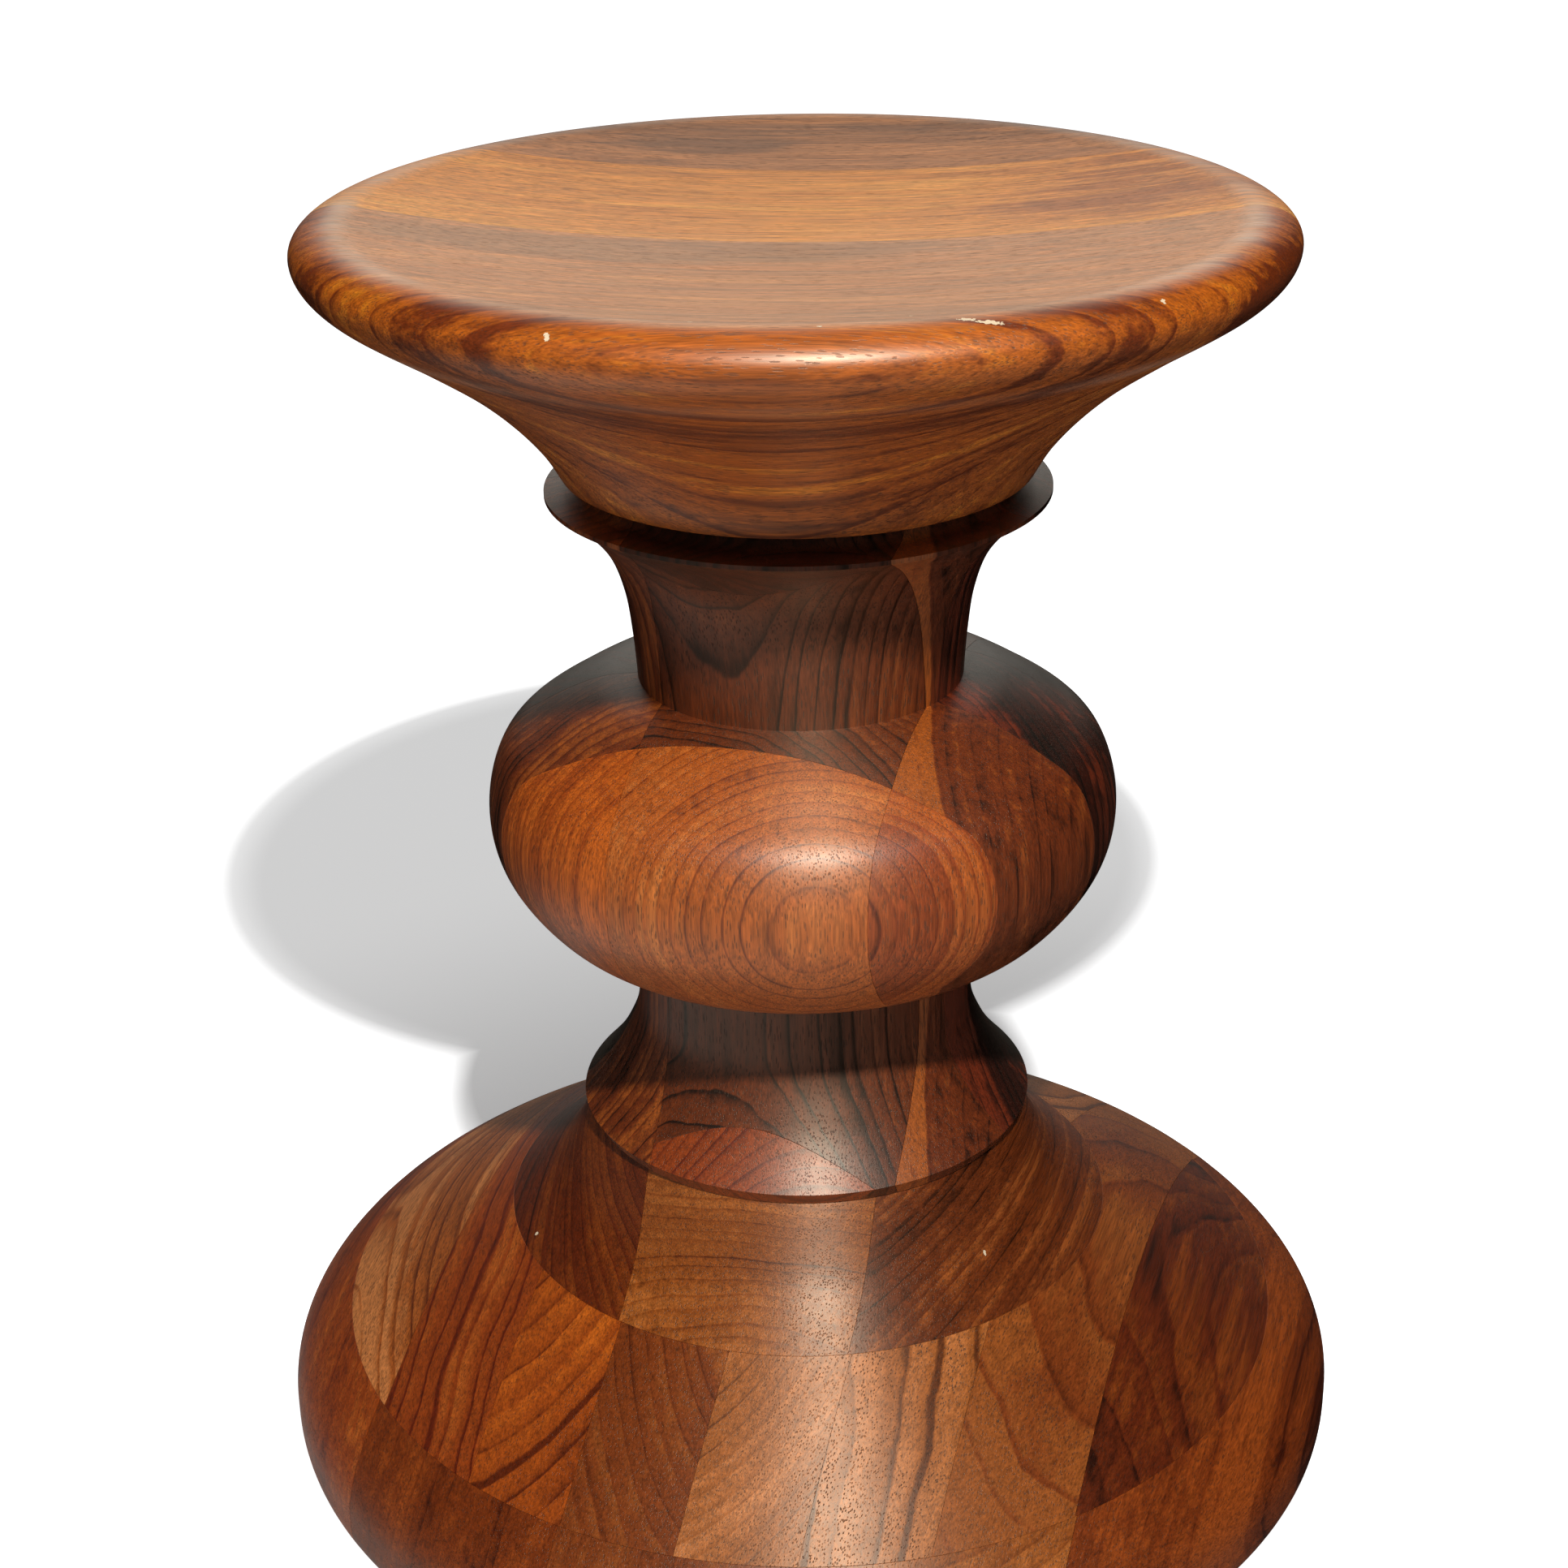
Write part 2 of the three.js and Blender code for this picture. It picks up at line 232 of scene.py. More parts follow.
def seat_outline():
    foot = (seat_foot_radius, seat_level + SEAM / 2)
    rim = (SEAT_RADIUS, crest_level - SEAT_RIM_DROP)
    shoulder = (SEAT_RADIUS - SEAT_SHOULDER_SETBACK, crest_level - SEAT_SHOULDER_DROP)
    corner = (SEAT_RADIUS, (shoulder[1] + rim[1]) / 2)
    rim_side = (corner[0] - shoulder[0], corner[1] - shoulder[1])
    crest_centre = (SEAT_RADIUS - SEAT_CREST_SETBACK, rim[1])
    crest = ellipse_arc(crest_centre, SEAT_CREST_SETBACK, SEAT_RIM_DROP, 0, CREST_TURN)
    dish = dish_arc(crest_level - SEAT_DISH_DEPTH, crest[-1])
    return [
        (0, foot[1]),
        *stretch(foot, shoulder, SEAT_CURVE_SHARES, arriving=rim_side),
        *soft_corner(shoulder, corner, rim),
        *crest,
        *reversed(dish),
    ]


# Solids

def new_object(name, vertices, faces):
    mesh = bpy.data.meshes.new(name)
    mesh.from_pydata(vertices, [], faces)
    mesh.update()
    made = bpy.data.objects.new(name, mesh)
    bpy.context.scene.collection.objects.link(made)
    return made


def ring_at(radius, height, count):
    turns = [math.tau * i / count for i in range(count)]
    return [(radius * math.cos(turn) * MM, radius * math.sin(turn) * MM, height * MM) for turn in turns]


def turned(name, outline):
    """A closed turned solid from an outline that starts and ends on the axis."""
    vertices, faces, rings = [], [], []
    last = None
    for radius, height in outline:
        if last and math.dist(last, (radius, height)) < SAME_POINT:
            continue
        last = (radius, height)
        points = ring_at(radius, height, SECTORS if radius > 0 else 1)
        rings.append([len(vertices) + i for i in range(len(points))])
        vertices += points
    for lower, upper in zip(rings, rings[1:]):
        for i in range(SECTORS):
            j = (i + 1) % SECTORS
            if len(lower) == 1:
                faces.append((lower[0], upper[j], upper[i]))
            elif len(upper) == 1:
                faces.append((lower[i], lower[j], upper[0]))
            else:
                faces.append((lower[i], lower[j], upper[j], upper[i]))
    made = new_object(name, vertices, faces)
    made.data.shade_smooth()
    return made


def capped(name, first, second):
    """A closed solid between two loops of as many points."""
    count = len(first)
    sides = [(i, (i + 1) % count, count + (i + 1) % count, count + i) for i in range(count)]
    caps = [tuple(reversed(range(count))), tuple(range(count, 2 * count))]
    return new_object(name, [*first, *second], [*caps, *sides])


def prism(turn, across, section):
    """A cutter: a section listed as (towards the back, up), run across from left to right."""
    spin = Matrix.Rotation(turn, 4, "Z")
    left, right = ([spin @ Vector((x * MM, y * MM, z * MM)) for y, z in section] for x in across)
    return capped("cutter", left, right)


def block(turn, across, depth, levels):
    (front, back), (low, high) = depth, levels
    return prism(turn, across, [(front, low), (back, low), (back, high), (front, high)])


def dowel_hole(level):
    radius = DOWEL_RADIUS + DOWEL_CLEARANCE
    half = DOWEL_LENGTH / 2 + DOWEL_CLEARANCE
    low, high = (ring_at(radius, z, DOWEL_SECTORS) for z in (level - half, level + half))
    return capped("dowel_hole", low, high)


def cut_from(section, name, cutter, holes=()):
    """The part of a turned section inside a cutter, as a closed piece of its own."""
    piece = bpy.data.objects.new(name, section.data)
    bpy.context.scene.collection.objects.link(piece)
    for tool, operation in [(cutter, "INTERSECT"), *((hole, "DIFFERENCE") for hole in holes)]:
        cut = piece.modifiers.new(operation, "BOOLEAN")
        cut.operation = operation
        cut.solver = "MANIFOLD"
        cut.object = tool
    depsgraph = bpy.context.evaluated_depsgraph_get()
    mesh = bpy.data.meshes.new_from_object(piece.evaluated_get(depsgraph))
    piece.modifiers.clear()
    piece.data = mesh
    mesh.name = name
    mesh.set_sharp_from_angle(angle=CREASE)
    bpy.data.objects.remove(cutter)
    return piece


def bays_between(seams, reach):
    edges = [-reach, *seams, reach]
    bays = []
    for i in range(len(edges) - 1):
        low = edges[i] if i == 0 else edges[i] + SEAM / 2
        high = edges[i + 1] if i == len(edges) - 2 else edges[i + 1] - SEAM / 2
        bays.append((low, high))
    return bays


# Walnut: one node group that grows rings round a pith and runs pores and streaks along the grain

def add_node(tree, kind, inputs=None, **settings):
    """A node whose inputs are linked, where a value is another node's output, or set."""
    node = tree.nodes.new(kind)
    for key, value in settings.items():
        setattr(node, key, value)
    for key, value in (inputs or {}).items():
        if isinstance(value, bpy.types.NodeSocket):
            tree.links.new(value, node.inputs[key])
        else:
            node.inputs[key].default_value = value
    return node


def maths(tree, operation, *values):
    return add_node(tree, "ShaderNodeMath", dict(enumerate(values)), operation=operation).outputs[0]


def product(tree, *factors):
    total = factors[0]
    for factor in factors[1:]:
        total = maths(tree, "MULTIPLY", total, factor)
    return total


def summed(tree, *parts):
    total = parts[0]
    for part in parts[1:]:
        total = maths(tree, "ADD", total, part)
    return total


def centred(tree, value, gain):
    """A noise from 0 to 1, moved to lie about 0."""
    return product(tree, maths(tree, "SUBTRACT", value, 0.5), gain)


def vectors(tree, operation, *values):
    node = add_node(tree, "ShaderNodeVectorMath", dict(enumerate(values)), operation=operation)
    return node.outputs["Value" if operation in ("LENGTH", "DISTANCE") else "Vector"]


def scaled(tree, vector, scale):
    node = add_node(tree, "ShaderNodeVectorMath", {0: vector, "Scale": scale}, operation="SCALE")
    return node.outputs["Vector"]


def flattened(tree, vector):
    return vectors(tree, "MULTIPLY", vector, (1.0, 1.0, 0.0))


def component(tree, vector, axis):
    return add_node(tree, "ShaderNodeSeparateXYZ", {"Vector": vector}).outputs[axis]


def place_on_stool(tree):
    """The shaded point in millimetres, from the middle of the floor under the stool."""
    return scaled(tree, add_node(tree, "ShaderNodeTexCoord").outputs["Object"], 1 / MM)


def eased(tree, value, low, high, to_low=0.0, to_high=1.0):
    """A soft step from to_low, where the value is low, to to_high, where it is high."""
    node = add_node(tree, "ShaderNodeMapRange", {
        "Value": value, "From Min": low, "From Max": high, "To Min": to_low, "To Max": to_high,
    }, interpolation_type="SMOOTHSTEP")
    return node.outputs["Result"]


def noise(tree, vector, detail, roughness=0.5, output="Fac"):
    node = add_node(tree, "ShaderNodeTexNoise", {
        "Vector": vector, "Scale": 1.0, "Detail": detail, "Roughness": roughness,
    })
    return node.outputs[output]


def noise_along(tree, value, detail=2.0, roughness=0.5):
    node = add_node(tree, "ShaderNodeTexNoise", {
        "W": value, "Scale": 1.0, "Detail": detail, "Roughness": roughness,
    }, noise_dimensions="1D")
    return node.outputs["Fac"]


def mixed_colour(tree, share, first, second):
    sockets = {0: share, 6: first, 7: second}
    return add_node(tree, "ShaderNodeMix", sockets, data_type="RGBA").outputs[2]


def srgb(red, green, blue):
    """A linear colour from the 0 to 255 values of a colour picker."""
    def linear(value):
        share = value / 255
        return share / 12.92 if share <= 0.04045 else ((share + 0.055) / 1.055) ** 2.4
    return (linear(red), linear(green), linear(blue), 1.0)


FIGURE_INPUTS = [
    ("Pith", "NodeSocketVector"), ("Turn", "NodeSocketVector"), ("Seed", "NodeSocketFloat"),
    ("Ring", "NodeSocketFloat"), ("Wobble", "NodeSocketFloat"), ("Line", "NodeSocketFloat"),
    ("Band", "NodeSocketFloat"), ("Streak", "NodeSocketFloat"), ("Pore", "NodeSocketFloat"),
    ("Tone", "NodeSocketFloat"), ("Sap", "NodeSocketFloat"), ("Sheen", "NodeSocketFloat"),
    ("Wear", "NodeSocketFloat"),
    ("Pale", "NodeSocketColor"), ("Middle", "NodeSocketColor"), ("Dark", "NodeSocketColor"),
]
FIGURE_OUTPUTS = [
    ("Color", "NodeSocketColor"), ("Roughness", "NodeSocketFloat"), ("Height", "NodeSocketFloat"),
    ("Tangent", "NodeSocketVector"),
]

# Grain along the log: the width, depth and length of a noise cell in mm, its detail and roughness
CLOUD = ((26, 26, 90), 2.0, 0.5)
STREAK = ((3.4, 3.4, 90), 3.0, 0.6)
THREAD = ((1.3, 1.3, 45), 2.0, 0.6)
FIBRE = ((0.5, 0.5, 14), 2.0, 0.6)
FLECK = ((6, 6, 30), 2.0, 0.5)
PORE_CELL = (0.6, 0.6, 4.8)
SEED_STEP = (37.7, 91.3, 53.9)

# How the rings bend, ripple and waver along the log: a noise cell, and the mm for a wobble of 1
SWAYS = [((70, 70, 240), 4.0), ((15, 15, 60), 0.8), ((3.5, 3.5, 12), 0.12)]
SWAY_NOISE = (1.5, 0.5)

# Rings, counted from the pith. A pace is how many noise cells pass with each ring.
SEED_RINGS = 17.3
UNEVEN_PACE, UNEVEN_RINGS = 0.8, 0.9
STRENGTH_PACE, STRENGTH_START = 0.61, 7.7
BAND_PACE = 0.17
BAND_NOISE = (3.0, 0.65)

# Soft steps, as from where to where, and between which two values
RING_END = (1.0, 0.9)
LATE_WOOD = (0.25, 0.95)
DARK_LINE = (0.72, 0.92)
LINE_STRENGTH = (0.35, 0.62, 0.35, 1.0)
SAP_STEP = (-1.0, 1.0, 0.0, -0.6)
PORE_SIZE = (0.9, 0.1, 0.2, 0.31)
PORE_EDGE = (0.06, -0.05)
PORE_PATCHES = (0.3, 0.6, 0.5, 1.0)
PALE_TO_MIDDLE, MIDDLE_TO_DARK = (0.0, 0.5), (0.5, 1.0)

# How much each part of the figure does to the tone, to the fine contrast, roughness and height
BAND_TONE, CLOUD_TONE, STREAK_TONE = 2.0, 1.0, 2.0
LATE_TONE, LINE_LIFT = 0.7, -0.4
FIBRE_CONTRAST, THREAD_CONTRAST = 1.7, 1.0
FIBRE_ROUGH, STREAK_ROUGH, PORE_ROUGH = 0.08, 0.06, 0.2
FIBRE_HEIGHT, THREAD_HEIGHT, PORE_HEIGHT = 0.5, 0.4, -0.7

# The seat: a painted sheen, a pale reflection of the backdrop, lies on what faces up inside the
# crest, and the crest itself is rubbed pale. The sheen's edge and WEAR_HALF_WIDTH are mm from the crest,
# WEAR_SIDES starts with mm from the middle.
SHEEN_FACING = (0.55, 0.92)
SHEEN_EDGE = (4, -2)
SHEEN_STREAKS = (0.2, 0.7, 1.1, 0.85)
SHEEN_THREADS = (0.2, 0.8, 1.15, 0.8)
SHEEN_PORES = (0.0, 1.0, 0.62, 0.3)
WEAR_HALF_WIDTH = 7
WEAR_SIDES = (62, 118, 0.25, 1.0)
WEAR_CLOUDS = (0.3, 0.65, 0.3, 1.0)
WEAR_THREADS = (0.25, 0.75, 1.2, 0.5)
PORE_COLOUR = srgb(48, 20, 8)
# The colour of the painted sheen, a pale reflection of the backdrop on the seat top
PAINTED_SHEEN_COLOUR = srgb(240, 184, 132)
WEAR_COLOUR = srgb(232, 214, 196)


def turning_direction(tree, coordinates):
    """The way round the axis, as the gloss is stretched along what the lathe left."""
    around = vectors(tree, "CROSS_PRODUCT", (0.0, 0.0, 1.0), coordinates["Object"])
    return add_node(tree, "ShaderNodeVectorTransform", {"Vector": around}, vector_type="VECTOR",
                    convert_from="OBJECT", convert_to="WORLD").outputs["Vector"]


def seeded_place(tree, place, seed):
    ones = add_node(tree, "ShaderNodeCombineXYZ", {0: 1.0, 1: 1.0, 2: 1.0}).outputs[0]
    return vectors(tree, "ADD", place, vectors(tree, "MULTIPLY", scaled(tree, ones, seed), SEED_STEP))


def in_cells(tree, place, cell):
    return vectors(tree, "MULTIPLY", place, [1 / size for size in cell])


def grown(tree, seeded, cell, detail, roughness, output="Fac"):
    return noise(tree, in_cells(tree, seeded, cell), detail, roughness, output)


def rings_reach(tree, place, seeded, wobble):
    """The distance from a pith that bends and ripples along the log."""
    bent = place
    for cell, way in SWAYS:
        sway = grown(tree, seeded, cell, *SWAY_NOISE, "Color")
        offset = vectors(tree, "SUBTRACT", sway, (0.5, 0.5, 0.5))
        bent = vectors(tree, "ADD", bent, scaled(tree, offset, product(tree, wobble, way)))
    return vectors(tree, "LENGTH", flattened(tree, bent))


def growth(tree, reach, given):
    """What the growth rings give: the place in a ring, its late wood, its dark line and the bands."""
    count = maths(tree, "DIVIDE", reach, given["Ring"])
    shifted = summed(tree, count, product(tree, given["Seed"], SEED_RINGS))
    uneven = product(tree, noise_along(tree, product(tree, shifted, UNEVEN_PACE)), UNEVEN_RINGS)
    part = maths(tree, "FRACT", summed(tree, count, uneven))
    end = eased(tree, part, *RING_END)
    late = product(tree, eased(tree, part, *LATE_WOOD), end)
    line = product(tree, eased(tree, part, *DARK_LINE), end)
    pace = summed(tree, product(tree, shifted, STRENGTH_PACE), STRENGTH_START)
    strength = eased(tree, noise_along(tree, pace), *LINE_STRENGTH)
    band = noise_along(tree, product(tree, shifted, BAND_PACE), *BAND_NOISE)
    return part, late, product(tree, line, strength), band


def pores(tree, seeded, part, amount):
    """1 in a pore. The pores are larger in a ring's early wood and lie in patches."""
    fleck = grown(tree, seeded, *FLECK)
    cells = add_node(tree, "ShaderNodeTexVoronoi", {
        "Vector": in_cells(tree, seeded, PORE_CELL), "Scale": 1.0, "Randomness": 1.0,
    }).outputs["Distance"]
    size = eased(tree, part, *PORE_SIZE)
    pore = eased(tree, maths(tree, "SUBTRACT", cells, size), *PORE_EDGE)
    return product(tree, pore, eased(tree, fleck, *PORE_PATCHES), amount)


def past_crest(tree, coordinates):
    """How far out from the seat's crest, in metres, less than 0 inside it."""
    radius = vectors(tree, "LENGTH", flattened(tree, coordinates["Object"]))
    return maths(tree, "SUBTRACT", radius, (SEAT_RADIUS - SEAT_CREST_SETBACK) * MM)


# Painted sheen: a pale reflection of the backdrop, put into the colour of what faces up inside the seat's
# crest
def painted_sheen_share(tree, coordinates, streak, thread, amount):
    upward = component(tree, coordinates["Normal"], "Z")
    low, high = SHEEN_EDGE
    return product(tree, eased(tree, upward, *SHEEN_FACING),
                   eased(tree, past_crest(tree, coordinates), low * MM, high * MM), amount,
                   eased(tree, streak, *SHEEN_STREAKS), eased(tree, thread, *SHEEN_THREADS))


def rubbed_share(tree, coordinates, cloud, thread, amount):
    """The wear on the crest, most of it at the left and right."""
    from_crest = maths(tree, "ABSOLUTE", past_crest(tree, coordinates))
    sideways = maths(tree, "ABSOLUTE", component(tree, coordinates["Object"], "X"))
    start, full, least, most = WEAR_SIDES
    return product(tree, eased(tree, from_crest, WEAR_HALF_WIDTH * MM, 0.0), amount,
                   eased(tree, sideways, start * MM, full * MM, least, most),
                   eased(tree, cloud, *WEAR_CLOUDS), eased(tree, thread, *WEAR_THREADS))


def figure_group():
    tree = bpy.data.node_groups.new("walnut_figure", "ShaderNodeTree")
    for name, kind in FIGURE_INPUTS:
        tree.interface.new_socket(name, in_out="INPUT", socket_type=kind)
    for name, kind in FIGURE_OUTPUTS:
        tree.interface.new_socket(name, in_out="OUTPUT", socket_type=kind)
    given = tree.nodes.new("NodeGroupInput").outputs
    coordinates = add_node(tree, "ShaderNodeTexCoord").outputs
    place = add_node(tree, "ShaderNodeMapping", {
        "Vector": scaled(tree, coordinates["Object"], 1 / MM), "Location": given["Pith"],
        "Rotation": given["Turn"],
    }, vector_type="TEXTURE").outputs["Vector"]
    seeded = seeded_place(tree, place, given["Seed"])
    reach = rings_reach(tree, place, seeded, given["Wobble"])
    part, late, line, band = growth(tree, reach, given)
    cloud, streak, thread, fibre = (grown(tree, seeded, *grain) for grain in (CLOUD, STREAK, THREAD, FIBRE))
    pore = pores(tree, seeded, part, given["Pore"])

    # Tone from 0, the palest wood, to 1, the darkest
    sap = eased(tree, maths(tree, "SUBTRACT", reach, given["Sap"]), *SAP_STEP)
    tone = summed(
        tree, given["Tone"], sap,
        product(tree, centred(tree, band, BAND_TONE), given["Band"]),
        product(tree, centred(tree, cloud, CLOUD_TONE), given["Band"]),
        product(tree, centred(tree, streak, STREAK_TONE), given["Streak"]),
        product(tree, late, given["Line"], LATE_TONE), product(tree, line, given["Line"]),
        product(tree, given["Line"], LINE_LIFT))
    colour = mixed_colour(tree, eased(tree, tone, *PALE_TO_MIDDLE), given["Pale"], given["Middle"])
    colour = mixed_colour(tree, eased(tree, tone, *MIDDLE_TO_DARK), colour, given["Dark"])

    # The painted sheen, then fibres and pores on it, then the rubbed crest
    sheen = painted_sheen_share(tree, coordinates, streak, thread, given["Sheen"])
    colour = mixed_colour(tree, sheen, colour, PAINTED_SHEEN_COLOUR)
    fine = summed(tree, 1.0, centred(tree, fibre, FIBRE_CONTRAST), centred(tree, thread, THREAD_CONTRAST))
    colour = scaled(tree, colour, fine)
    colour = mixed_colour(tree, product(tree, pore, eased(tree, sheen, *SHEEN_PORES)), colour, PORE_COLOUR)
    rubbed = rubbed_share(tree, coordinates, cloud, thread, given["Wear"])
    colour = mixed_colour(tree, rubbed, colour, WEAR_COLOUR)

    rough = summed(tree, centred(tree, fibre, FIBRE_ROUGH), centred(tree, streak, STREAK_ROUGH),
                   product(tree, pore, PORE_ROUGH))
    height = summed(tree, product(tree, fibre, FIBRE_HEIGHT), product(tree, thread, THREAD_HEIGHT),
                    product(tree, pore, PORE_HEIGHT))
    out = tree.nodes.new("NodeGroupOutput")
    results = (colour, rough, height, turning_direction(tree, coordinates))
    for (name, kind), value in zip(FIGURE_OUTPUTS, results):
        tree.links.new(value, out.inputs[name])
    return tree


# The satin finish of each section: how strong and how rough it is, how far it is stretched and
# whether round or up the turning, and the lacquer on it
ROUND, UP = 0.0, 0.25
SATINS = {
    "seat": dict(level=1.0, roughness=0.44, stretch=0.3, turn=UP, lacquer=0.3, lacquer_roughness=0.4),
    "stave": dict(level=0.95, roughness=0.47, stretch=0.6, turn=UP, lacquer=0.8, lacquer_roughness=0.44),
    "bell": dict(level=1.0, roughness=0.46, stretch=0.76, turn=UP, lacquer=0.0, lacquer_roughness=0.4),
    "dowels": dict(level=0.5, roughness=0.5, stretch=0.0, turn=ROUND, lacquer=0.0, lacquer_roughness=0.4),
}
LACQUER_TINT = (1.0, 0.94, 0.82, 1.0)
GLOSS_TINT = (1.0, 0.86, 0.66, 1.0)
GLOSS_IOR = 1.6
BUMP_DEPTH = 0.05

# The walnut of the boards: the pale, the middle and the dark tone of each
TONES = {
    "golden": (srgb(246, 166, 62), srgb(222, 136, 46), srgb(164, 86, 22)),
    "cocoa": (srgb(188, 116, 62), srgb(164, 98, 52), srgb(112, 62, 34)),
    "amber": (srgb(220, 130, 20), srgb(176, 86, 6), srgb(112, 42, 3)),
    "orange": (srgb(208, 120, 50), srgb(176, 86, 20), srgb(112, 40, 4)),
    "copper": (srgb(180, 88, 22), srgb(148, 60, 7), srgb(100, 28, 3)),
    "peach": (srgb(204, 124, 64), srgb(168, 86, 28), srgb(108, 44, 8)),
    "rose": (srgb(200, 120, 62), srgb(164, 90, 34), srgb(100, 46, 12)),
    "tan": (srgb(176, 98, 36), srgb(142, 70, 16), srgb(88, 32, 4)),
    "nut": (srgb(154, 80, 26), srgb(128, 56, 12), srgb(88, 32, 4)),
    "russet": (srgb(150, 66, 10), srgb(120, 47, 4), srgb(70, 20, 3)),
    "chestnut": (srgb(166, 84, 22), srgb(114, 46, 9), srgb(36, 11, 4)),
    "ginger": (srgb(198, 96, 14), srgb(162, 70, 5), srgb(96, 32, 3)),
    "umber": (srgb(160, 82, 28), srgb(106, 44, 9), srgb(34, 11, 3)),
    "maroon": (srgb(132, 58, 8), srgb(97, 33, 4), srgb(44, 11, 3)),
    "dark": (srgb(118, 42, 12), srgb(54, 17, 7), srgb(16, 7, 5)),
}

NO_SAP = 10000


def grid_point(turn, across, back, up):
    x = across * math.cos(turn) - back * math.sin(turn)
    y = across * math.sin(turn) + back * math.cos(turn)
    return (x, y, up)


def along_seat(back, up):
    """The pith of a seat board: how far behind the middle, and how high."""
    return grid_point(SEAT_TURN, 0, back, up), (0, math.pi / 2, SEAT_TURN)


def along_bell(across, up):
    """The pith of a bell board: how far to the right, and how high."""
    return grid_point(STAVE_TURN, across, 0, up), (-math.pi / 2, 0, STAVE_TURN)


def along_stave(across, back):
    """The pith of an upright stave: how far to the right, and how far back."""
    return grid_point(STAVE_TURN, across, back, bulb_level), (0, 0, STAVE_TURN)


def figured(seed, pith, tones, ring, wobble, line, band, streak, pore, tone,
            sap=NO_SAP, sheen=0.0, wear=0.0):
    """A board's figure: the rings' spacing in mm and how far they sway, the strength of the dark
    lines, bands, streaks and pores, and the tone. Sap is the radius in mm where pale sapwood
    starts. The seat's boards also take a painted sheen, a pale reflection of the backdrop on what faces up,
    and wear."""
    return dict(seed=seed, pith=pith, tones=tones, ring=ring, wobble=wobble, line=line, band=band,
                streak=streak, pore=pore, tone=tone, sap=sap, sheen=sheen, wear=wear)


